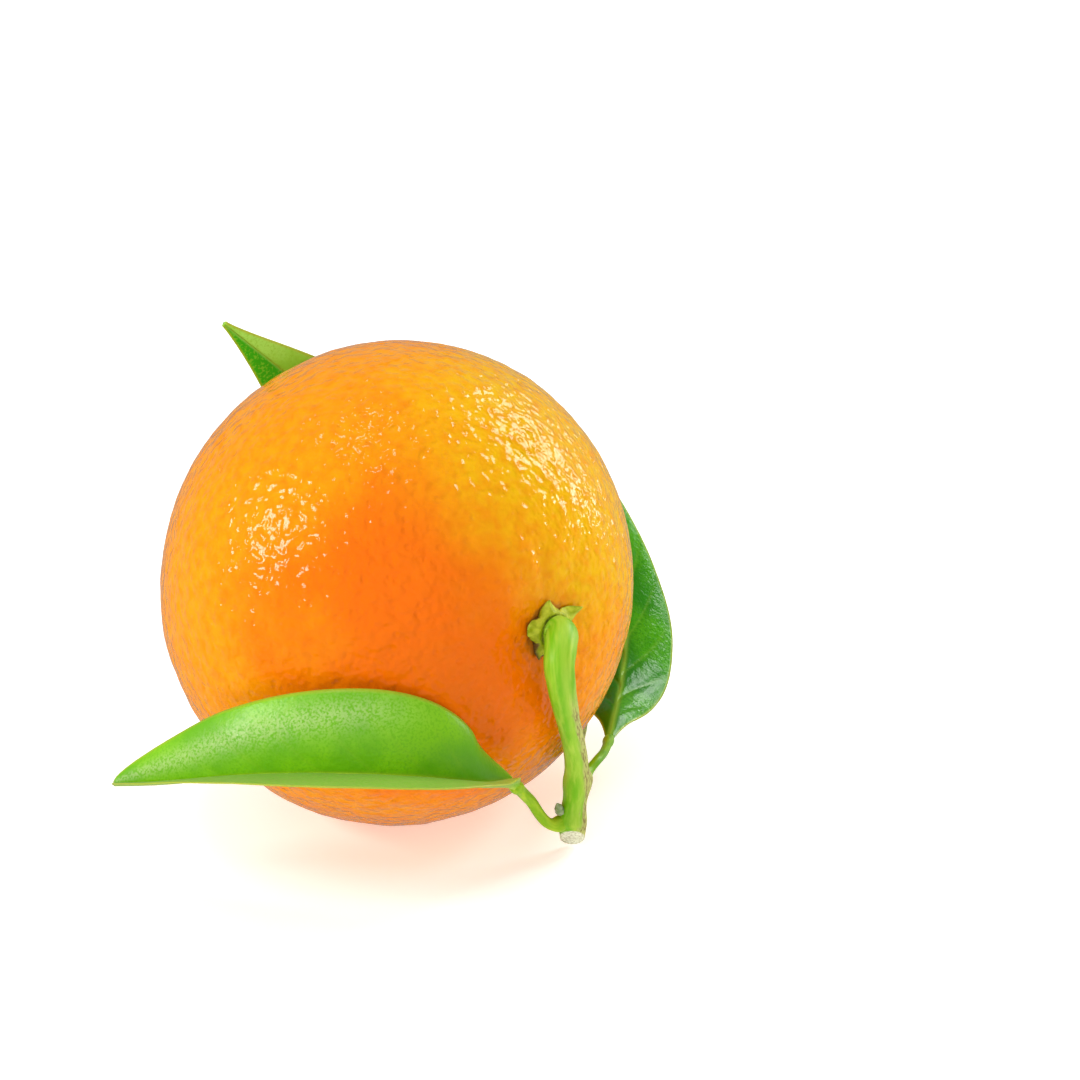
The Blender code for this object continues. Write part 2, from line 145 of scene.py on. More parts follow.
RIGHT_LEAF = Leaf(
    name="right",
    petiole_length=13.0 * MM,
    petiole_thickness=1.4 * MM,
    length=52.0 * MM,
    width=14.8 * MM,
    base_power=1.9,
    tip_power=0.75,
    stops=(
        (-27.0, -34.0, 4.5),
        (-17.0, -36.0, 4.1),
        (-7.0, -37.0, 3.9),
        (4.0, -34.5, 3.5),
        (15.0, -32.0, 4.4),
        (26.0, -26.5, 5.9),
        (32.5, -20.5, 7.0),
        (40.5, -12.5, 7.9),
        (48.5, -2.5, 9.2),
        (55.0, 5.5, 10.8),
    ),
    base_faces=(-90.0, 70.0),
    tip_faces=(-90.0, 40.0),
    left_fold=-15.0,
    left_curl=25.0,
    right_fold=-15.0,
    right_curl=25.0,
    vein_depth=0.16 * MM,
    veins=8,
    wave=0.2 * MM,
)
BACK_LEAF = Leaf(
    name="back",
    petiole_length=11.0 * MM,
    petiole_thickness=1.4 * MM,
    length=64.5 * MM,
    width=21.0 * MM,
    base_power=1.0,
    tip_power=1.25,
    stops=(
        (66.5, -23.5, 5.5),
        (75.5, -15.0, 4.6),
        (88.5, -2.5, 4.0),
        (103.5, 16.0, 4.0),
        (119.5, 32.0, 5.5),
        (135.5, 40.5, 12.1),
    ),
    base_faces=(-110.0, 22.0),
    tip_faces=(-90.0, 15.0),
    left_fold=20.0,
    left_curl=14.0,
    right_fold=20.0,
    right_curl=14.0,
    vein_depth=0.08 * MM,
    veins=9,
    wave=0.2 * MM,
)
LEAF_EDGE_HALF_WIDTH = 0.45 * MM
BLADE_LEAN = 0.8


# ---------------------------------------------------------------- directions, noise and routes


def direction(azimuth, elevation):
    turn, rise = math.radians(azimuth), math.radians(elevation)
    return np.array([math.cos(rise) * math.cos(turn), math.cos(rise) * math.sin(turn), math.sin(rise)])


def unit(vectors):
    return vectors / np.linalg.norm(vectors, axis=-1, keepdims=True)


def dot(a, b):
    return (a * b).sum(axis=-1)


def ramp(values, low, high):
    """0 below low, 1 above high and smooth between them.  low may be the larger one."""
    share = np.clip((values - low) / (high - low), 0, 1)
    return share * share * (3 - 2 * share)


# The camera looks at the fruit from this elevation, straight from the front.
CAMERA_ELEVATION = 22.0
RIGHT = np.array([1.0, 0.0, 0.0])
TOWARD = direction(-90.0, CAMERA_ELEVATION)
UP = np.cross(TOWARD, RIGHT)

STEM_AXIS = direction(-46.0, 4.0)
STEM_TURN = np.array(Vector(STEM_AXIS).to_track_quat("Z", "Y").to_matrix())


def random_by_cell(cells, seed):
    """A repeatable number from 0 to 1 for each whole-numbered cell of space, scrambled by large primes."""
    x, y, z = np.moveaxis(cells.astype(np.int64), -1, 0)
    mixed = (x * 73856093) ^ (y * 19349663) ^ (z * 83492791) ^ (seed * 961748927)
    mixed = ((mixed ^ (mixed >> 13)) * 1274126177) & 0xFFFFFFFF
    mixed = ((mixed ^ (mixed >> 15)) * 668265263) & 0xFFFFFFFF
    return (mixed >> 8 & 0xFFFF) / 0xFFFF


def soft_noise(points, size, seed=0):
    """Smooth noise from -1 to 1 with features of a size."""
    scaled = np.asarray(points) / size + 100.0
    cells = np.floor(scaled)
    share = scaled - cells
    share = share * share * (3 - 2 * share)
    total = 0.0
    for corner in np.ndindex(2, 2, 2):
        weight = np.prod(np.where(corner, share, 1 - share), axis=-1)
        total = total + weight * random_by_cell(cells + corner, seed)
    return 2 * total - 1


def cell_distance(points, size, seed=0):
    """The distance to the nearest of many scattered dots, one to each cell of a size."""
    scaled = np.asarray(points) / size + 100.0
    cells = np.floor(scaled)
    nearest = np.full(scaled.shape[:-1], np.inf)
    for step in np.ndindex(3, 3, 3):
        beside = cells + step - 1
        dot_place = np.stack([random_by_cell(beside, seed + axis) for axis in range(3)], axis=-1)
        nearest = np.minimum(nearest, np.linalg.norm(beside + dot_place - scaled, axis=-1))
    return nearest * size


def stem_end_height(radius):
    slope = np.sqrt(1 - (radius / FRUIT_RADIUS) ** 2)
    return slope * FRUIT_HALF_HEIGHT - STEM_DIMPLE_DEPTH * np.exp(-((radius / STEM_DIMPLE_RADIUS) ** 2))


def fruit_centre():
    wide = FRUIT_RADIUS**2 * (1 - STEM_AXIS[2] ** 2)
    high = FRUIT_HALF_HEIGHT**2 * STEM_AXIS[2] ** 2
    return np.array([0.0, 0.0, math.sqrt(wide + high) - FLATTENING])


CENTRE = fruit_centre()


def beside_fruit(azimuth, elevation, clearance_mm):
    """The point that far above the plain skin, in that direction from the fruit's centre."""
    way = direction(azimuth, elevation)
    along = way @ STEM_AXIS
    reach = 1 / math.sqrt((1 - along**2) / FRUIT_RADIUS**2 + along**2 / FRUIT_HALF_HEIGHT**2)
    return CENTRE + way * (reach + clearance_mm * MM)


class Route:
    """A smooth line through its stops, measured by the distance along it."""

    STEPS_BETWEEN_STOPS = 12
    HEADING_SPAN = 0.4 * MM

    def __init__(self, stops):
        stops = np.array(stops)
        times = np.concatenate([[0], np.cumsum(np.linalg.norm(np.diff(stops, axis=0), axis=1))])
        slopes = np.gradient(stops, times, axis=0)
        points = [stops[0]]
        for i in range(len(stops) - 1):
            span = times[i + 1] - times[i]
            for step in range(1, self.STEPS_BETWEEN_STOPS + 1):
                t = step / self.STEPS_BETWEEN_STOPS
                points.append(
                    (2 * t**3 - 3 * t**2 + 1) * stops[i]
                    + (t**3 - 2 * t**2 + t) * span * slopes[i]
                    + (3 * t**2 - 2 * t**3) * stops[i + 1]
                    + (t**3 - t**2) * span * slopes[i + 1]
                )
        self.points = np.array(points)
        self.distances = np.concatenate(
            [[0], np.cumsum(np.linalg.norm(np.diff(self.points, axis=0), axis=1))]
        )
        self.first = unit(self.points[1] - self.points[0])
        self.last = unit(self.points[-1] - self.points[-2])

    def place(self, distances):
        """The points at these distances.  Before the start and past the end the line runs straight."""
        distances = np.asarray(distances, dtype=float)
        inside = np.stack([np.interp(distances, self.distances, line) for line in self.points.T], axis=-1)
        before = np.minimum(distances, 0)[..., None] * self.first
        beyond = np.maximum(distances - self.distances[-1], 0)[..., None] * self.last
        return inside + before + beyond

    def heading(self, distances):
        distances = np.asarray(distances, dtype=float)
        return unit(self.place(distances + self.HEADING_SPAN) - self.place(distances - self.HEADING_SPAN))

    def sides(self, distances):
        """A direction square to the line at each distance, turning as little as it can on the way."""
        headings = self.heading(distances)
        side = np.array(Vector(headings[0]).orthogonal().normalized())
        found = []
        for heading in headings:
            side = unit(side - heading * (side @ heading))
            found.append(side)
        return np.array(found)


# ---------------------------------------------------------------- meshes


def add_piece(name, points, face_groups, look, values):
    """A shown piece that stands for the CAD node of its name, with numbers or vectors per vertex."""
    mesh = bpy.data.meshes.new(name)
    faces = [face for group in face_groups for face in group.tolist()]
    mesh.from_pydata(points.tolist(), [], faces)
    mesh.update()
    mesh.shade_smooth()
    mesh.materials.append(look)
    for label, numbers in values.items():
        if numbers.ndim == 2:
            made = mesh.attributes.new(label, "FLOAT_VECTOR", "POINT")
            made.data.foreach_set("vector", numbers.astype(np.float32).ravel())
        else:
            made = mesh.attributes.new(label, "FLOAT", "POINT")
            made.data.foreach_set("value", numbers.astype(np.float32))
    thing = bpy.data.objects.new(name + "_look", mesh)
    bpy.context.scene.collection.objects.link(thing)
    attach(thing, "root")
    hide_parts(name)


def grid_faces(rows, columns):
    row, column = np.meshgrid(np.arange(rows - 1), np.arange(columns - 1), indexing="ij")
    a = row * columns + column
    return np.stack([a, a + 1, a + 1 + columns, a + columns], axis=-1).reshape(-1, 4)


def add_rings(name, rings, look, values):
    """A closed body through rings of points, each ring closed on itself, and both ends filled."""
    count, sides = rings.shape[:2]
    ring, side = np.meshgrid(np.arange(count - 1), np.arange(sides), indexing="ij")
    a, b = ring * sides + side, ring * sides + (side + 1) % sides
    walls = np.stack([a, b, b + sides, a + sides], axis=-1).reshape(-1, 4)
    ends = np.arange(sides)
    beside = (ends + 1) % sides
    last = (count - 1) * sides
    first_middle, last_middle = count * sides, count * sides + 1
    first_fan = np.column_stack([np.full(sides, first_middle), beside, ends])
    last_fan = np.column_stack([np.full(sides, last_middle), last + ends, last + beside])

    def with_middles(numbers):
        flat = numbers.reshape(count * sides, *numbers.shape[2:])
        return np.concatenate([flat, numbers[:1].mean(axis=1), numbers[-1:].mean(axis=1)])

    whole = {label: with_middles(numbers) for label, numbers in values.items()}
    add_piece(name, with_middles(rings), [walls, first_fan, last_fan], look, whole)


# ---------------------------------------------------------------- materials

# A Mix node has several sockets of one name, so its colour sockets go by number.
MIX_COLOUR_A = 6
MIX_COLOUR_B = 7
MIX_COLOUR_RESULT = 2


class Look:
    """A Principled material whose nodes are added one at a time."""

    def __init__(self, name, **settings):
        self.material = bpy.data.materials.new(name)
        self.material.use_nodes = True
        self.tree = self.material.node_tree
        self.shader = self.tree.nodes["Principled BSDF"]
        for socket, value in settings.items():
            self.shader.inputs[socket.replace("_", " ")].default_value = value
        self.space = self.tree.nodes.new("ShaderNodeTexCoord").outputs["Object"]

    def connect(self, source, socket):
        if isinstance(source, bpy.types.NodeSocket):
            self.tree.links.new(source, socket)
        else:
            socket.default_value = source

    def attribute(self, label, output="Fac"):
        node = self.tree.nodes.new("ShaderNodeAttribute")
        node.attribute_name = label
        return node.outputs[output]

    def noise(self, size, detail=2.0, space=None, roughness=0.5):
        node = self.tree.nodes.new("ShaderNodeTexNoise")
        node.inputs["Scale"].default_value = 1 / size
        node.inputs["Detail"].default_value = detail
        node.inputs["Roughness"].default_value = roughness
        self.connect(space or self.space, node.inputs["Vector"])
        return node.outputs["Fac"]

    def cells(self, size):
        """The distance to the nearest of many scattered dots."""
        node = self.tree.nodes.new("ShaderNodeTexVoronoi")
        node.inputs["Scale"].default_value = 1 / size
        self.connect(self.space, node.inputs["Vector"])
        return node.outputs["Distance"]

    def math(self, operation, a, b=0.0):
        node = self.tree.nodes.new("ShaderNodeMath")
        node.operation = operation
        self.connect(a, node.inputs[0])
        self.connect(b, node.inputs[1])
        return node.outputs[0]

    def ramp(self, value, low, high, bottom=0.0, top=1.0):
        node = self.tree.nodes.new("ShaderNodeMapRange")
        node.interpolation_type = "SMOOTHSTEP"
        self.connect(value, node.inputs["Value"])
        self.connect(low, node.inputs["From Min"])
        self.connect(high, node.inputs["From Max"])
        self.connect(bottom, node.inputs["To Min"])
        self.connect(top, node.inputs["To Max"])
        return node.outputs["Result"]

    def along(self, way, origin=(0.0, 0.0, 0.0)):
        """How far each point is from the origin in a direction."""
        shifted = self.tree.nodes.new("ShaderNodeVectorMath")
        shifted.operation = "SUBTRACT"
        self.connect(self.space, shifted.inputs[0])
        shifted.inputs[1].default_value = tuple(origin)
        node = self.tree.nodes.new("ShaderNodeVectorMath")
        node.operation = "DOT_PRODUCT"
        self.connect(shifted.outputs["Vector"], node.inputs[0])
        node.inputs[1].default_value = tuple(way)
        return node.outputs["Value"]

    def mix(self, factor, a, b):
        node = self.tree.nodes.new("ShaderNodeMix")
        node.data_type = "RGBA"
        self.connect(factor, node.inputs["Factor"])
        self.connect(a, node.inputs[MIX_COLOUR_A])
        self.connect(b, node.inputs[MIX_COLOUR_B])
        return node.outputs[MIX_COLOUR_RESULT]

    def colour(self, source):
        self.connect(source, self.shader.inputs["Base Color"])

    def roughness(self, source):
        self.connect(source, self.shader.inputs["Roughness"])

    def bump(self, *layers):
        """Layers of (height, strength, distance), each on top of the one before."""
        normal = None
        for height, strength, distance in layers:
            node = self.tree.nodes.new("ShaderNodeBump")
            node.inputs["Strength"].default_value = strength
            node.inputs["Distance"].default_value = distance
            self.connect(height, node.inputs["Height"])
            if normal is not None:
                self.connect(normal, node.inputs["Normal"])
            normal = node.outputs["Normal"]
        self.connect(normal, self.shader.inputs["Normal"])


def rgb(red, green, blue):
    return (red, green, blue, 1.0)


# The peel is painted deep orange where it faces the front and golden towards its rims, which is painted rim
# sheen; it is also yellow towards the upper right.
PEEL_DEEP = rgb(0.89, 0.15, 0.0)
PEEL_GOLDEN_WITH_RIM_SHEEN = rgb(0.90, 0.33, 0.0)
PEEL_YELLOW = rgb(0.84, 0.47, 0.0)
# Deeper orange for the mottle, and painted shade in the pits and pores.
PEEL_MOTTLE_AND_PIT_SHADE = rgb(0.82, 0.16, 0.0)
PEEL_BROWN_PATCH = rgb(0.30, 0.13, 0.02)
PAINTED_SHEEN_DEEP_SIDE = direction(-77.0, 4.0)
YELLOW_SIDE = direction(-12.0, 36.0)
BLOTCH_SIZE = 12.0 * MM
MOTTLE_SIZE = 1.6 * MM
GLAND_SPACING = 1.35 * MM
BROWN_PATCH_RADIUS = 5.3 * MM
BROWN_PATCH_SOFTNESS = 0.8 * MM
BROWN_PATCH_RAGGEDNESS = 2.4 * MM


def towards(look, way, blotches):
    """-1 to 1 across the fruit in a direction, with the blotches' share added."""
    return look.math("ADD", look.along(way / FRUIT_RADIUS, CENTRE), look.math("MULTIPLY", blotches, 0.5))


def peel_look():
    look = Look("orange_peel_look", Roughness=0.12, Specular_IOR_Level=0.25)
    blotches = look.noise(BLOTCH_SIZE, detail=3.0)
    # Painted rim sheen: golden towards the rims, deep orange where the fruit faces the front.
    colour = look.mix(look.ramp(towards(look, PAINTED_SHEEN_DEEP_SIDE, blotches), 0.76, 1.2), PEEL_GOLDEN_WITH_RIM_SHEEN, PEEL_DEEP)
    colour = look.mix(look.ramp(towards(look, YELLOW_SIDE, blotches), 0.78, 1.15), colour, PEEL_YELLOW)
    mottle = look.ramp(look.noise(MOTTLE_SIZE, detail=3.0), 0.3, 0.75, 0.0, 0.35)
    colour = look.mix(mottle, colour, PEEL_MOTTLE_AND_PIT_SHADE)
    # Painted shade: the peel is darkened in its pits and pores.
    colour = look.mix(look.math("MULTIPLY", look.attribute("pit"), 0.3), colour, PEEL_MOTTLE_AND_PIT_SHADE)
    # The peel is browner in a ragged patch round the stem end, mostly under the calyx.
    ragged = look.math("MULTIPLY", look.noise(1.2 * MM), BROWN_PATCH_RAGGEDNESS)
    ragged_from_stem = look.math("ADD", look.attribute("from_stem"), ragged)
    brown_patch = look.ramp(ragged_from_stem, BROWN_PATCH_RADIUS, BROWN_PATCH_RADIUS - BROWN_PATCH_SOFTNESS, 0.0, 0.6)
    colour = look.mix(brown_patch, colour, PEEL_BROWN_PATCH)
    look.colour(colour)
    pitted = look.ramp(look.cells(GLAND_SPACING), 0.08, 0.45)
    rough = look.noise(MOTTLE_SIZE, detail=1.0)
    look.bump((rough, 1.0, 0.5 * MM), (pitted, 1.0, 0.08 * MM))
    return look.material


# Young bark is smooth green, with a cracked tan side towards +X.
BARK_GREEN = rgb(0.17, 0.47, 0.0)
BARK_LIGHT = rgb(0.42, 0.62, 0.05)
BARK_TAN = rgb(0.52, 0.49, 0.16)
BARK_CRACK = rgb(0.22, 0.16, 0.05)
CUT_WOOD = rgb(0.84, 0.85, 0.66)
CUT_DARK = rgb(0.48, 0.46, 0.27)


def bark_look():
    look = Look("green_bark_look", Roughness=0.5, Specular_IOR_Level=0.25)
    grain = look.attribute("grain", "Vector")
    sunny = look.attribute("sunny")
    streaks = look.noise(0.9, detail=4.0, space=grain, roughness=0.6)
    fine = look.noise(0.2, detail=2.0, space=grain)
    away_from_root = look.ramp(look.attribute("along"), 8.0, 16.0)
    colour = look.mix(look.ramp(streaks, 0.35, 0.75), BARK_GREEN, BARK_LIGHT)
    light_streak = look.math("MULTIPLY", look.ramp(sunny, -0.35, 0.15), look.ramp(sunny, 0.6, 0.2))
    colour = look.mix(look.math("MULTIPLY", light_streak, 0.55), colour, BARK_LIGHT)
    patch = look.math("ADD", sunny, look.math("MULTIPLY", streaks, 1.1))
    tan = look.math("MULTIPLY", look.ramp(patch, 0.7, 1.05, 0.0, 0.8), away_from_root)
    colour = look.mix(tan, colour, BARK_TAN)
    cracks = look.ramp(look.math("ADD", fine, look.math("MULTIPLY", tan, 0.14)), 0.60, 0.70)
    colour = look.mix(look.math("MULTIPLY", cracks, look.math("ADD", tan, 0.08)), colour, BARK_CRACK)
    cut = look.attribute("cut")
    wood = look.mix(look.ramp(look.noise(0.35 * MM, detail=3.0), 0.4, 0.7), CUT_WOOD, CUT_DARK)
    colour = look.mix(cut, colour, wood)
    look.colour(colour)
    look.roughness(look.ramp(tan, 0.0, 0.75, 0.42, 0.75))
    look.bump((streaks, 0.3, 0.12 * MM), (fine, 0.35, 0.08 * MM))
    return look.material


PETIOLE_GREEN = rgb(0.24, 0.47, 0.002)
PETIOLE_LIGHT = rgb(0.42, 0.60, 0.02)
PETIOLE_SHADE = rgb(0.13, 0.34, 0.004)


def petiole_look(name, green, light):
    look = Look(f"{name}_petiole_look", Roughness=0.38, Specular_IOR_Level=0.25)
    grain = look.attribute("grain", "Vector")
    streaks = look.noise(0.6, detail=3.0, space=grain)
    look.colour(look.mix(look.ramp(streaks, 0.35, 0.7), green, light))
    look.bump((streaks, 0.6, 0.08 * MM))
    return look.material


CALYX_GREEN = rgb(0.34, 0.40, 0.002)
CALYX_LIGHT = rgb(0.55, 0.60, 0.03)
CALYX_BROWN = rgb(0.16, 0.09, 0.02)


def calyx_look():
    look = Look("calyx_green_look", Roughness=0.5, Specular_IOR_Level=0.25)
    patches = look.noise(0.9 * MM, detail=4.0)
    colour = look.mix(look.ramp(patches, 0.35, 0.65), CALYX_GREEN, CALYX_LIGHT)
    browning = look.math("ADD", look.attribute("browning"), look.math("MULTIPLY", patches, 0.5))
    colour = look.mix(look.ramp(browning, 0.75, 1.1), colour, CALYX_BROWN)
    look.colour(colour)
    look.bump((look.noise(0.4 * MM, detail=3.0), 0.5, 0.1 * MM))
    return look.material


BUD_GREEN = rgb(0.20, 0.30, 0.10)
BUD_GREY = rgb(0.36, 0.40, 0.24)


def bud_look():
    look = Look("bud_green_look", Roughness=0.6)
    patches = look.noise(0.5 * MM, detail=3.0)
    look.colour(look.mix(look.ramp(patches, 0.35, 0.65), BUD_GREEN, BUD_GREY))
    look.bump((patches, 0.4, 0.08 * MM))
    return look.material


# Each leaf has its own greens: the blade, its lighter patches, its veins and how strongly they show,
# the painted light on the half that lies past the midrib, and how strong the painted sheen is.
Greens = namedtuple("Greens", "dark light vein vein_share other_half bloom")
LEFT_GREENS = Greens(
    dark=rgb(0.14, 0.45, 0.0),
    light=rgb(0.22, 0.56, 0.0),
    vein=rgb(0.50, 0.66, 0.04),
    vein_share=0.07,
    other_half=rgb(0.26, 0.46, 0.07),
    bloom=0.65,
)
RIGHT_GREENS = Greens(
    dark=rgb(0.02, 0.20, 0.0),
    light=rgb(0.065, 0.33, 0.0),
    vein=rgb(0.22, 0.45, 0.03),
    vein_share=0.25,
    other_half=rgb(0.03, 0.20, 0.001),
    bloom=0.0,
)
# The back leaf's blade greens are painted light for its lit upper half; its far half is painted dark as
# shade.
BACK_GREENS = Greens(
    dark=rgb(0.24, 0.70, 0.05),
    light=rgb(0.36, 0.85, 0.14),
    vein=rgb(0.30, 0.62, 0.05),
    vein_share=0.2,
    other_half=rgb(0.02, 0.52, 0.008),
    bloom=0.0,
)
LEAF_PAINTED_SHEEN = rgb(0.52, 0.68, 0.26)
LEAF_RIM = rgb(0.45, 0.50, 0.03)
LEAF_UNDERSIDE = rgb(0.30, 0.46, 0.10)


def leaf_look(name, greens, roughness, specular):
    look = Look(f"{name}_leaf_look", Roughness=roughness, Specular_IOR_Level=specular)
    patches = look.noise(7 * MM, detail=3.0)
    colour = look.mix(look.ramp(patches, 0.35, 0.65), greens.dark, greens.light)
    # Painted light: the half past the midrib gets its own green, a pale grey-green painted sheen on the left
    # leaf and a darker painted shade on the back leaf.
    colour = look.mix(look.attribute("other_half"), colour, greens.other_half)
    grains = look.noise(0.32 * MM, detail=2.0)
    streaky_sheen = look.math("MULTIPLY", look.attribute("bloom"), look.ramp(grains, 0.8, 0.3))
    # Painted sheen: a pale, streaky band along the blade's right half.
    colour = look.mix(look.math("MULTIPLY", streaky_sheen, greens.bloom), colour, LEAF_PAINTED_SHEEN)
    colour = look.mix(look.ramp(grains, 0.48, 0.64, 0.0, 0.6), colour, greens.dark)
    colour = look.mix(look.math("MULTIPLY", look.attribute("vein"), greens.vein_share), colour, greens.vein)
    colour = look.mix(look.attribute("midrib"), colour, greens.vein)
    colour = look.mix(look.math("MULTIPLY", look.attribute("under"), 0.8), colour, LEAF_UNDERSIDE)
    colour = look.mix(look.math("MULTIPLY", look.attribute("rim"), 0.8), colour, LEAF_RIM)
    look.colour(colour)
    look.bump((look.noise(0.6 * MM, detail=2.0), 1.0, 0.07 * MM))
    return look.material


# ---------------------------------------------------------------- the fruit

SKIN_STEPS = 128
PIT_SPACING = 1.75 * MM
PIT_RADIUS = 0.5 * MM
PIT_DEPTH = 0.12 * MM
PORE_SPACING = 5.5 * MM
PORE_RADIUS = 0.7 * MM
PORE_DEPTH = 0.12 * MM
# The peel is uneven at three sizes, each with its own height.
UNEVEN = ((9.0 * MM, 0.12 * MM), (3.4 * MM, 0.07 * MM), (1.7 * MM, 0.05 * MM))


def ball(steps):
    """Evenly spread directions and the quads between them, as a cube blown up into a ball."""
    spread = np.tan(np.linspace(-math.pi / 4, math.pi / 4, steps + 1))
    u, v = np.meshgrid(spread, spread, indexing="ij")
    one = np.ones_like(u)
    ways, faces = [], []
    for axis in range(3):
        for sign in (1, -1):
            layers = [None, None, None]
            layers[axis] = sign * one
            layers[(axis + 1) % 3] = u
            layers[(axis + 2) % 3] = v
            quads = grid_faces(steps + 1, steps + 1) + len(ways) * (steps + 1) ** 2
            faces.append(quads if sign < 0 else quads[:, ::-1])
            ways.append(np.stack(layers, axis=-1).reshape(-1, 3))
    ways = unit(np.concatenate(ways))
    _, first, index = np.unique(np.round(ways, 6), axis=0, return_index=True, return_inverse=True)
    return ways[first], index.reshape(-1)[np.concatenate(faces)]


def skin_shape(ways):
    """The skin before its pits, in the fruit's own axes, from directions about the stem axis."""
    flat = np.linalg.norm(ways[:, :2], axis=1)
    radius = FRUIT_RADIUS * flat
    turn = np.arctan2(ways[:, 1], ways[:, 0])
    dimple = np.where(
        ways[:, 2] > 0,
        STEM_DIMPLE_DEPTH * np.exp(-((radius / STEM_DIMPLE_RADIUS) ** 2)),
        -BLOSSOM_DIMPLE_DEPTH * np.exp(-((radius / BLOSSOM_DIMPLE_RADIUS) ** 2)),
    )
    around = np.stack([np.cos(turn), np.sin(turn), np.zeros_like(turn)], axis=-1)
    wander = 0.25 * soft_noise(around, 0.5, seed=3)
    uneven = 0.65 + 0.45 * soft_noise(around, 0.45, seed=4)
    strength = np.exp(-(((radius - FURROW_RADIUS) / (FURROW_RADIUS / 2)) ** 2)) * (ways[:, 2] > 0)
    furrow = FURROW_DEPTH * strength * uneven * (0.5 + 0.5 * np.cos(FURROWS * (turn + wander))) ** 2
    height = ways[:, 2] * FRUIT_HALF_HEIGHT - dimple - furrow
    return np.column_stack([FRUIT_RADIUS * ways[:, 0], FRUIT_RADIUS * ways[:, 1], height]), radius


def add_fruit():
    ways, faces = ball(SKIN_STEPS)
    shape, radius = skin_shape(ways)
    pits = cell_distance(shape, PIT_SPACING, seed=1)
    pit = np.exp(-((pits / PIT_RADIUS) ** 2))
    pore = np.exp(-((cell_distance(shape, PORE_SPACING, seed=7) / PORE_RADIUS) ** 2))
    lift = -PIT_DEPTH * pit - PORE_DEPTH * pore
    for seed, (size, height) in enumerate(UNEVEN, start=11):
        lift = lift + height * soft_noise(shape, size, seed)
    points = CENTRE + (shape + ways * lift[:, None]) @ STEM_TURN.T
    points[:, 2] = np.maximum(points[:, 2], 0.0)
    from_stem = np.where(ways[:, 2] > 0, radius, 2 * FRUIT_RADIUS)
    values = {"pit": np.maximum(pit, pore), "from_stem": from_stem}
    add_piece("fruit", points, [faces], peel_look(), values)


# ---------------------------------------------------------------- the calyx

# Each sepal has its own length and its own share of dryness.
SEPALS = (5.9, 4.3, 4.6, 4.2, 4.4)
SEPAL_DRY = (0.1, 0.0, 0.15, 0.5, 0.15)
NOTCH_RADIUS = 2.9 * MM
CALYX_TURN = 18.0
CALYX_RINGS = 26
CALYX_SIDES = 240
SEPAL_THICKNESS = 0.5 * MM
SEPAL_EDGE = 0.12 * MM
SEPAL_RISE = 1.1 * MM
SEPAL_RIDGE = 0.25 * MM
SEPAL_BUMPS = 0.14 * MM
COLLAR_RADIUS = 2.5 * MM
COLLAR_SPREAD = 0.75 * MM
COLLAR_HEIGHT = 0.9 * MM


def add_calyx():
    turn = np.arange(CALYX_SIDES) * 2 * math.pi / CALYX_SIDES
    place = (np.degrees(turn) - CALYX_TURN) * len(SEPALS) / 360
    nearest = np.round(place).astype(int) % len(SEPALS)
    from_tip = 2 * np.abs(place - np.round(place))
    tip = np.array(SEPALS)[nearest] * MM
    around = np.stack([np.cos(turn), np.sin(turn), 0 * turn], axis=-1)
    ragged = SEPAL_EDGE * soft_noise(around, 0.09, seed=21)
    outline = NOTCH_RADIUS + (tip - NOTCH_RADIUS) * (1 - from_tip) ** 1.5 + ragged
    upper, lower, browning = [], [], []
    for ring in range(CALYX_RINGS + 1):
        share = ring / CALYX_RINGS
        radius = np.maximum(share * outline, 0.02 * MM)
        flat = radius[:, None] * around[:, :2]
        base = stem_end_height(radius) + 0.1 * MM
        raised = SEPAL_RISE * (1 - from_tip) ** 2 * ramp(radius, NOTCH_RADIUS, 1.3 * tip)
        collar = COLLAR_HEIGHT * np.exp(-(((radius - COLLAR_RADIUS) / COLLAR_SPREAD) ** 2))
        ridge = SEPAL_RIDGE * np.exp(-((from_tip / 0.25) ** 2)) * share
        bumps = SEPAL_BUMPS * soft_noise(np.column_stack([flat, 0 * radius]), 0.8 * MM, seed=22)
        thick = SEPAL_THICKNESS * (1 - share**4) + collar + ridge * (1 - share**3) + bumps * (1 - share**2)
        lower.append(np.column_stack([flat, base + raised]))
        upper.append(np.column_stack([flat, base + raised + np.maximum(thick, SEPAL_EDGE)]))
        browning.append(np.array(SEPAL_DRY)[nearest] * ramp(share + 0 * turn, 0.5, 1.0) + 0.35 * share**6)
    rings = np.array(upper + lower[::-1])[::-1]
    # The calyx is browner on its underside than on its top.
    dryness = np.array(browning + [values + 0.4 for values in browning[::-1]])[::-1]
    world = CENTRE + rings @ STEM_TURN.T
    add_rings("calyx", world, calyx_look(), {"browning": dryness})


# ---------------------------------------------------------------- stalks

TUBE_SIDES = 48
TUBE_STEP = 0.25 * MM
END_RINGS = 8
BARK_RELIEF = 0.05 * MM
PETIOLE_RELIEF = 0.03 * MM
CUT_LUMPS = 0.12 * MM
SUNNY_SIDE = np.array([0.97, 0.22, 0.1])

# A cushion is a swelling on one side of a stalk: how far along, towards what, how high, how long.
Cushion = namedtuple("Cushion", "distance way height spread")


def no_slant(distances):
    return 0 * distances


def end_cap(middle, ring, heading, dome, lumps):
    """Ever smaller rings that close an end, out to a dome's height."""
    rings = []
    for step in range(1, END_RINGS):
        share = step / END_RINGS
        width = 1 - share
        rise = dome * share * (2 - share) + lumps * width
        rings.append(middle + (ring - middle) * width + heading * rise)
    return rings


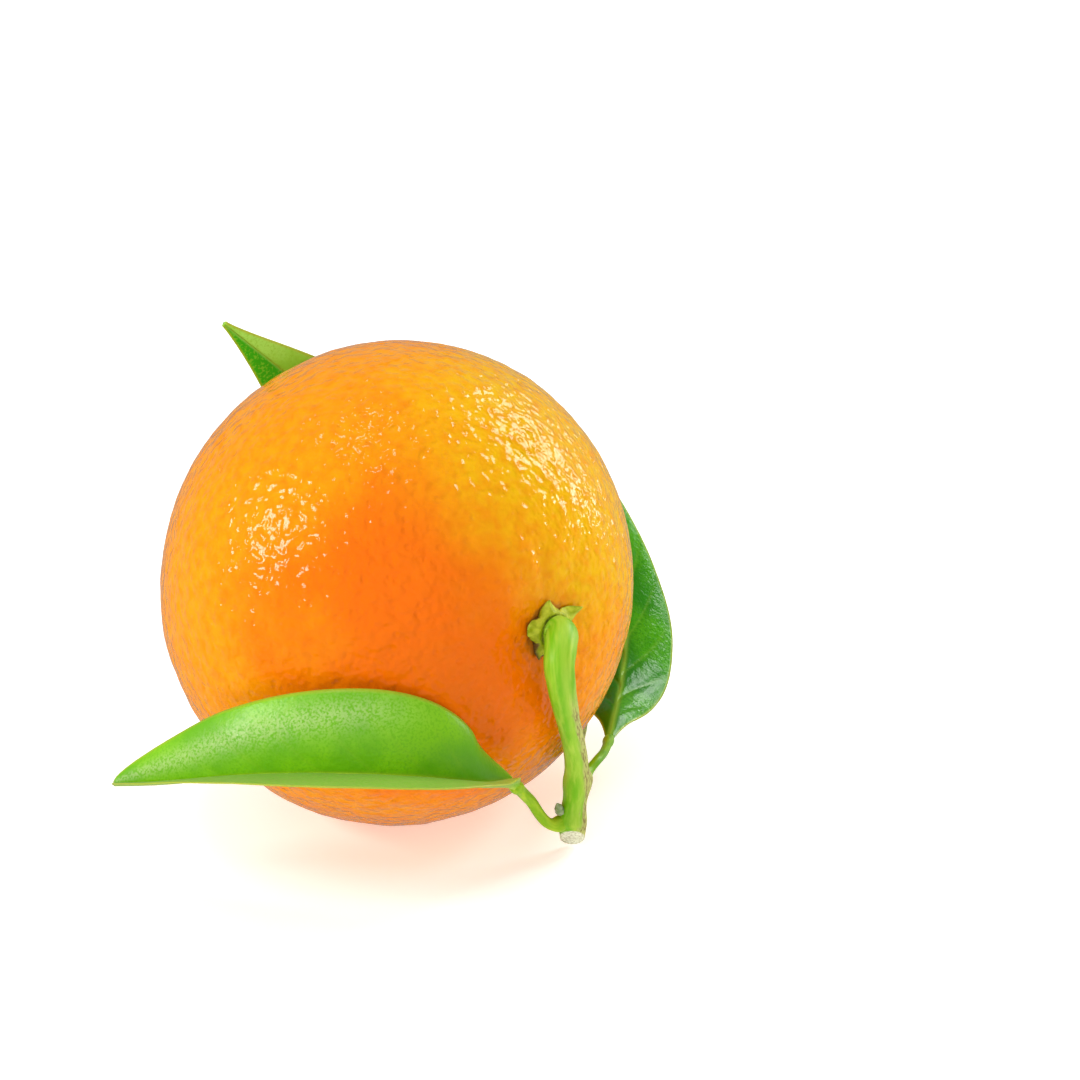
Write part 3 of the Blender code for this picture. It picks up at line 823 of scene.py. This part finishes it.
def add_stalk(name, route, start, end, radius_at, unevenness, cushions, domes, look, slant_at=no_slant):
    """A stalk along a stretch of a route, ridged lengthwise, with an end cap domed by each of domes."""
    count = math.ceil((end - start) / TUBE_STEP) + 1
    distances = np.linspace(start, end, count)
    sides = route.sides(distances)
    headings = route.heading(distances)
    across = np.cross(headings, sides)
    middles = route.place(distances)
    turn = np.arange(TUBE_SIDES) * 2 * math.pi / TUBE_SIDES
    spokes = sides[:, None] * np.cos(turn)[:, None] + across[:, None] * np.sin(turn)[:, None]
    radius = radius_at(distances)[:, None]
    round_about = np.stack([np.cos(turn), np.sin(turn)], axis=-1)
    grain = np.concatenate(
        [
            np.broadcast_to(round_about, (count, TUBE_SIDES, 2)) * radius[..., None] / MM,
            np.broadcast_to((distances / MM / 6)[:, None, None], (count, TUBE_SIDES, 1)),
        ],
        axis=-1,
    )
    relief = unevenness * (soft_noise(grain, 0.6, seed=31) + soft_noise(grain, 0.25, seed=32) / 2)
    for cushion in cushions:
        facing = dot(spokes, cushion.way)
        away = (distances - cushion.distance)[:, None] / cushion.spread
        relief = relief + cushion.height * np.exp(-(away**2)) * np.exp(-((1 - facing) / 0.35))
    leaning = spokes - headings[:, None] * (slant_at(distances)[:, None] * (spokes @ TOWARD))[..., None]
    rings = middles[:, None] + leaning * (radius + relief)[..., None]
    cut = ramp(distances, end - 0.35 * MM, end - 0.1 * MM)[:, None] + 0 * relief
    lumps = CUT_LUMPS * soft_noise(rings[-1], 0.5 * MM, seed=33)[:, None]
    first_cap = end_cap(middles[0], rings[0], -headings[0], domes[0], 0.0)
    last_cap = end_cap(middles[-1], rings[-1], headings[-1], domes[1], lumps)
    rings = np.concatenate([first_cap[::-1], rings, last_cap])
    caps = END_RINGS - 1
    padding = ((caps, caps), (0, 0))
    values = {
        "grain": np.pad(grain, (*padding, (0, 0)), mode="edge"),
        "cut": np.pad(cut, padding, mode="edge"),
        "along": np.pad(distances[:, None] / MM + 0 * relief, padding, mode="edge"),
        "sunny": np.pad(spokes @ SUNNY_SIDE, padding, mode="edge"),
    }
    add_rings(name, rings, look, values)


def twig_radius(distance):
    root = np.maximum(0.0, 1 - distance / TWIG_ROOT_TAPER)
    radius = (TWIG_THICKNESS + (TWIG_ROOT_THICKNESS - TWIG_THICKNESS) * root) / 2
    for node in (LEFT_NODE, RIGHT_NODE):
        radius = radius + NODE_SWELLING * np.exp(-(((node - distance) / NODE_SPREAD) ** 2))
    return radius


def twig_slant(distances):
    """Nothing until the last stretch of the twig, and the whole slant at the cut."""
    return CUT_SLANT * np.maximum(0.0, 1 - (TWIG_LENGTH - distances) / CUT_STRETCH) ** 2


def shoot_radius(distance):
    share = np.minimum(1.0, distance / SHOOT_LENGTH)
    return (SHOOT_THICKNESS + (SHOOT_TIP_THICKNESS - SHOOT_THICKNESS) * share) / 2


def twig_route():
    start = CENTRE + STEM_AXIS * (stem_end_height(0.0) + GAP + CALYX_THICKNESS + GAP)
    return Route([start, start + STEM_AXIS * TWIG_RISE, *(beside_fruit(*stop) for stop in TWIG_STOPS)])


def branch_route(parent, distance, parent_radius, stops):
    """A route that leaves a stalk square to its side, and that side."""
    root, heading = parent.place(distance), parent.heading(distance)
    side = beside_fruit(*stops[0]) - root
    side = unit(side - heading * (side @ heading))
    start = root + side * (parent_radius + GAP)
    return Route([start, start + side * BRANCH_START, *(beside_fruit(*stop) for stop in stops)]), side


# A petiole grows out of its stalk and holds the foot of its blade.
PETIOLE_ROOT = 0.6 * MM
PETIOLE_HOLD = 0.8 * MM
PETIOLE_SWELLING = 0.9 * MM


def petiole_radius(leaf):
    """Swollen where it leaves its stalk and again at the joint with the blade."""

    def radius_at(distance):
        foot = 0.45 * np.exp(-((distance / PETIOLE_SWELLING) ** 2))
        joint = 0.22 * np.exp(-(((leaf.petiole_length - distance) / PETIOLE_SWELLING) ** 2))
        return leaf.petiole_thickness / 2 * (0.9 + foot + joint)

    return radius_at


# ---------------------------------------------------------------- leaves

BLADE_ROWS = 200
HALF_COLUMNS = 26
BLADE_THICKNESS = 0.34 * MM
MIDRIB_WIDTH = 0.42 * MM
MIDRIB_GROOVE = 0.10 * MM
MIDRIB_RIDGE = 0.50 * MM
# Shares of the space between two side veins.
VEIN_WIDTH = 0.05
QUILTING_WIDTH = 0.16
RIM_WIDTH = 0.45 * MM
# A painted sheen, a pale band that stands in for a highlight, lies along the blade's right half.  It starts
# at the edge by the base and draws in towards the midrib at the tip; these are its places and its width in
# shares of the half width.
PAINTED_SHEEN_AT_BASE = 1.0
PAINTED_SHEEN_AT_TIP = 0.35
PAINTED_SHEEN_SPREAD = 0.2


def blade_half_width(leaf, share):
    along = share**BLADE_LEAN
    power = np.where(along > 0.5, leaf.tip_power, leaf.base_power)
    outline = np.maximum(np.sin(math.pi * along), 0.0) ** power
    return leaf.width / 2 * outline + LEAF_EDGE_HALF_WIDTH * (1 - outline)


def slab_faces(rows, columns):
    """The quads of an upper grid, a lower grid and the four edges between them."""
    grid = grid_faces(rows, columns)
    below = rows * columns
    row_ends = np.arange(rows - 1) * columns
    column_ends = np.arange(columns - 1)
    last = (rows - 1) * columns
    far = columns - 1

    def band(a, b):
        """Quads from edge a to edge b of the upper grid down to the lower one."""
        return np.column_stack([b, a, a + below, b + below])

    rims = [
        band(row_ends + columns, row_ends),
        band(row_ends + far, row_ends + columns + far),
        band(column_ends, column_ends + 1),
        band(last + column_ends + 1, last + column_ends),
    ]
    return [grid, grid[:, ::-1] + below, *rims]


def add_blade(leaf, route, look):
    shares = np.linspace(0, 1, BLADE_ROWS + 1)
    distances = leaf.petiole_length + GAP / 2 + leaf.length * shares
    middles, headings = route.place(distances), route.heading(distances)
    base_up, tip_up = direction(*leaf.base_faces), direction(*leaf.tip_faces)
    ups = base_up + (tip_up - base_up) * shares[:, None]
    ups = unit(ups - headings * dot(ups, headings)[:, None])
    lefts = np.cross(ups, headings)
    # More columns near the midrib and the rim, where the shape is finest.
    even = np.linspace(-1, 1, 2 * HALF_COLUMNS + 1)
    offsets = even * (0.55 + 0.45 * np.abs(even))
    left_half = offsets > 0
    start = np.radians(np.where(left_half, leaf.left_fold, leaf.right_fold))
    bend = np.radians(np.where(left_half, leaf.left_curl, leaf.right_curl))
    angle = start - bend * np.abs(offsets)
    half_width = blade_half_width(leaf, shares)[:, None]
    beside = half_width * (np.sin(start) - np.sin(angle)) / bend * np.where(left_half, 1, -1)
    above = half_width * (np.cos(angle) - np.cos(start)) / bend
    along_mm = np.broadcast_to((leaf.length * shares)[:, None], beside.shape)
    flat = np.stack([offsets * half_width, along_mm, 0 * along_mm], axis=-1)
    edge = np.abs(offsets) + 0 * half_width
    waves = leaf.wave * edge**3 * soft_noise(flat, 7 * MM, seed=41) * np.sin(math.pi * shares)[:, None]
    sheet = middles[:, None] + lefts[:, None] * beside[..., None] + ups[:, None] * (above + waves)[..., None]
    across, down = np.gradient(sheet, axis=1), np.gradient(sheet, axis=0)
    normals = unit(np.cross(across, down))
    normals = normals * np.sign(dot(normals, ups[:, None]))[..., None]

    lean = np.where(left_half, 0.0, 0.5) - 1.6 * np.abs(offsets) ** 0.85
    phase = leaf.veins * shares[:, None] + lean + 0.10 * soft_noise(flat, 9 * MM, seed=42)
    from_vein = np.abs(phase - np.round(phase))
    fade = (1 - edge**3) * ramp(half_width, 0.15 * leaf.width, 0.4 * leaf.width)
    vein = np.exp(-((from_vein / VEIN_WIDTH) ** 2)) * fade
    quilting = np.exp(-((from_vein / QUILTING_WIDTH) ** 2)) * fade
    from_midrib = np.abs(offsets) * half_width
    slim = 1 - 0.65 * shares[:, None]
    midrib = np.exp(-((from_midrib / (MIDRIB_WIDTH * slim)) ** 2))
    pebble = 0.012 * MM * soft_noise(flat, 0.9 * MM, seed=43) + 0.05 * MM * soft_noise(flat, 5 * MM, seed=44)
    half_thick = BLADE_THICKNESS / 2 * (1 - 0.5 * edge**4)
    top = half_thick - leaf.vein_depth * quilting - MIDRIB_GROOVE * midrib + pebble
    under = half_thick + MIDRIB_RIDGE * slim * midrib + 0.6 * leaf.vein_depth * vein - pebble

    groups = slab_faces(*edge.shape)
    if dot(np.cross(across, down), ups[:, None]).mean() < 0:
        groups = [group[:, ::-1] for group in groups]
    rim = ramp(edge * half_width, half_width - RIM_WIDTH, half_width)
    # Painted light on the half past the midrib.
    other_half = ramp(offsets * half_width, 0.0, 0.5 * MM)
    painted_sheen_line = PAINTED_SHEEN_AT_BASE + (PAINTED_SHEEN_AT_TIP - PAINTED_SHEEN_AT_BASE) * shares[:, None]
    # Painted sheen: where the pale band lies on the right half.
    bloom = np.exp(-(((-offsets - painted_sheen_line) / PAINTED_SHEEN_SPREAD) ** 2)) * ramp(shares, 0.25, 0.5)[:, None]
    from_base = ramp(shares, 0.0, 0.08)[:, None] + 0 * edge
    both = {
        "midrib": midrib,
        "vein": vein,
        "rim": rim * from_base,
        "other_half": other_half * from_base,
        "bloom": bloom,
    }
    values = {label: np.concatenate([numbers.ravel(), numbers.ravel()]) for label, numbers in both.items()}
    values["under"] = np.concatenate([np.zeros(edge.size), from_base.ravel()])
    upper = sheet + normals * top[..., None]
    lower = sheet - normals * under[..., None]
    points = np.concatenate([upper.reshape(-1, 3), lower.reshape(-1, 3)])
    add_piece(f"{leaf.name}_leaf", points, groups, look, values)


def add_leaf(leaf, route, petiole_green, blade_look):
    add_stalk(
        f"{leaf.name}_petiole",
        route,
        -PETIOLE_ROOT,
        leaf.petiole_length + PETIOLE_HOLD,
        petiole_radius(leaf),
        PETIOLE_RELIEF,
        [],
        (0.0, 0.5 * MM),
        petiole_green,
    )
    add_blade(leaf, route, blade_look)


# ---------------------------------------------------------------- buds

BUD_RINGS = 28
BUD_SIDES = 32


def add_bud(name, foot, way, length, width, look):
    """A pointed bud wrapped in scales, each of which stands a little proud of the next."""
    side = np.array(Vector(way).orthogonal().normalized())
    across = np.cross(way, side)
    turn = np.arange(BUD_SIDES) * 2 * math.pi / BUD_SIDES
    spokes = side * np.cos(turn)[:, None] + across * np.sin(turn)[:, None]
    rings = []
    for share in np.linspace(0, 0.995, BUD_RINGS):
        plain = math.sin(math.pi * (0.3 + 0.7 * share)) ** 0.8
        scale_top = (3 * share + turn / (2 * math.pi)) % 1
        radius = width / 2 * plain * (1 + 0.16 * scale_top**3)
        rings.append(foot + way * length * share + spokes * radius[:, None])
    add_rings(name, np.array(rings), look, {})


def axillary_bud_place(twig, left_side):
    place = LEFT_NODE - BUD_FROM_PETIOLE
    heading = twig.heading(place)
    out = unit(left_side - heading * (left_side @ heading))
    way = unit(out * BUD_LEAN - heading)
    foot = twig.place(place) + out * (twig_radius(place) + BUD_WIDTH / 2 * (way @ -heading) - 0.3 * MM)
    return foot, way


# ---------------------------------------------------------------- the plant


def add_plant():
    add_fruit()
    add_calyx()
    twig = twig_route()
    left_route, left_side = branch_route(twig, LEFT_NODE, twig_radius(LEFT_NODE), LEFT_LEAF.stops)
    right_route, right_side = branch_route(twig, RIGHT_NODE, twig_radius(RIGHT_NODE), RIGHT_LEAF.stops)
    shoot, shoot_side = branch_route(twig, SHOOT_NODE, twig_radius(SHOOT_NODE), SHOOT_STOPS)
    back_route, back_side = branch_route(shoot, BACK_NODE, shoot_radius(BACK_NODE), BACK_LEAF.stops)

    bark = bark_look()
    petiole_green = petiole_look("green", PETIOLE_GREEN, PETIOLE_LIGHT)
    petiole_shade = petiole_look("shaded", PETIOLE_SHADE, PETIOLE_GREEN)
    cushions = [
        Cushion(LEFT_NODE, left_side, 0.55 * MM, 1.3 * MM),
        Cushion(RIGHT_NODE - 0.3 * MM, right_side, 0.7 * MM, 1.2 * MM),
        Cushion(SHOOT_NODE, shoot_side, 0.5 * MM, 1.4 * MM),
    ]
    add_stalk(
        "twig",
        twig,
        0.0,
        TWIG_LENGTH,
        twig_radius,
        BARK_RELIEF,
        cushions,
        (0.2 * MM, 0.2 * MM),
        bark,
        twig_slant,
    )
    shoot_cushion = [Cushion(BACK_NODE, back_side, 0.4 * MM, 1.0 * MM)]
    add_stalk(
        "side_shoot",
        shoot,
        -0.5 * MM,
        SHOOT_LENGTH,
        shoot_radius,
        BARK_RELIEF,
        shoot_cushion,
        (0.0, 0.2 * MM),
        bark,
    )
    left_blade = leaf_look("left", LEFT_GREENS, roughness=0.36, specular=0.35)
    right_blade = leaf_look("right", RIGHT_GREENS, roughness=0.2, specular=0.2)
    back_blade = leaf_look("back", BACK_GREENS, roughness=0.3, specular=0.4)
    add_leaf(LEFT_LEAF, left_route, petiole_green, left_blade)
    add_leaf(RIGHT_LEAF, right_route, petiole_shade, right_blade)
    add_leaf(BACK_LEAF, back_route, petiole_shade, back_blade)
    bud_green = bud_look()
    add_bud("axillary_bud", *axillary_bud_place(twig, left_side), BUD_LENGTH, BUD_WIDTH, bud_green)
    tip = shoot.place(SHOOT_LENGTH)
    add_bud("tip_bud", tip, shoot.heading(SHOOT_LENGTH), TIP_BUD_LENGTH, SHOOT_TIP_THICKNESS, bud_green)


# ---------------------------------------------------------------- floor, light and camera

# The view is this wide at the fruit's centre, which lies this far left of and below its middle.
CAMERA_DISTANCE = 600.0 * MM
VIEW_WIDTH = 146.66 * MM
TARGET_RIGHT = 19.27 * MM
TARGET_UP = 5.81 * MM
SENSOR_WIDTH = 36.0
FLOOR_HALF_SIZE = 3.0
FLOOR_DROP = 0.05 * MM


def aim(thing, place, target):
    thing.location = place
    thing.rotation_mode = "QUATERNION"
    thing.rotation_quaternion = Vector(target - place).to_track_quat("-Z", "Y")
    bpy.context.scene.collection.objects.link(thing)


def add_floor():
    mesh = bpy.data.meshes.new("floor")
    ends = ((-1, -1), (1, -1), (1, 1), (-1, 1))
    corners = [(x * FLOOR_HALF_SIZE, y * FLOOR_HALF_SIZE, 0) for x, y in ends]
    mesh.from_pydata(corners, [], [(0, 1, 2, 3)])
    look = Look("floor_look", Roughness=0.8, Specular_IOR_Level=0.1, Emission_Strength=0.4)
    look.colour(look.mix(look.noise(60 * MM), rgb(0.93, 0.93, 0.93), rgb(0.95, 0.95, 0.95)))
    mesh.materials.append(look.material)
    floor = bpy.data.objects.new("floor", mesh)
    floor.location.z = -FLOOR_DROP
    floor.visible_glossy = False
    bpy.context.scene.collection.objects.link(floor)


def add_light(name, way, distance, size, radiance):
    """A square soft light that shines on the fruit's centre from a direction and distance in metres."""
    light = bpy.data.lights.new(name, "AREA")
    light.size = size
    light.energy = radiance * math.pi * size**2
    thing = bpy.data.objects.new(name, light)
    aim(thing, CENTRE + unit(way) * distance, CENTRE)
    return thing


def add_lights():
    world = bpy.data.worlds.new("studio")
    world.use_nodes = True
    background = world.node_tree.nodes["Background"]
    background.inputs["Color"].default_value = rgb(1.0, 1.0, 1.0)
    background.inputs["Strength"].default_value = 0.35
    bpy.context.scene.world = world
    left_front = -0.80 * RIGHT + 0.31 * UP + 0.52 * TOWARD
    upper_back = 0.65 * RIGHT + 0.67 * UP - 0.26 * TOWARD
    right_side = 0.85 * RIGHT + 0.35 * UP - 0.38 * TOWARD
    top = -0.16 * RIGHT + 0.92 * UP + 0.35 * TOWARD
    front = 0.10 * RIGHT - 0.15 * UP + 1.0 * TOWARD
    overhead = np.array([0.0, 0.0, 1.0])
    add_light("left_front_light", left_front, distance=0.60, size=0.16, radiance=20.0)
    add_light("upper_back_light", upper_back, distance=0.70, size=0.26, radiance=9.0)
    add_light("right_side_light", right_side, distance=0.70, size=0.16, radiance=10.0)
    add_light("top_light", top, distance=0.70, size=0.12, radiance=12.0)
    # The two broad fills light the plant without being mirrored in its skin.
    for fill in (
        add_light("front_fill_light", front, distance=0.90, size=0.90, radiance=0.85),
        add_light("overhead_fill_light", overhead, distance=1.0, size=2.0, radiance=0.5),
    ):
        fill.visible_glossy = False


def add_camera():
    camera = bpy.data.cameras.new("camera")
    camera.sensor_width = SENSOR_WIDTH
    camera.lens = SENSOR_WIDTH * CAMERA_DISTANCE / VIEW_WIDTH
    camera.clip_start = 0.01
    camera.clip_end = 20.0
    thing = bpy.data.objects.new("camera", camera)
    target = CENTRE + TARGET_RIGHT * RIGHT + TARGET_UP * UP
    aim(thing, target + CAMERA_DISTANCE * TOWARD, target)
    bpy.context.scene.camera = thing


add_plant()
add_floor()
add_lights()
add_camera()
bpy.context.scene.view_settings.view_transform = "Standard"
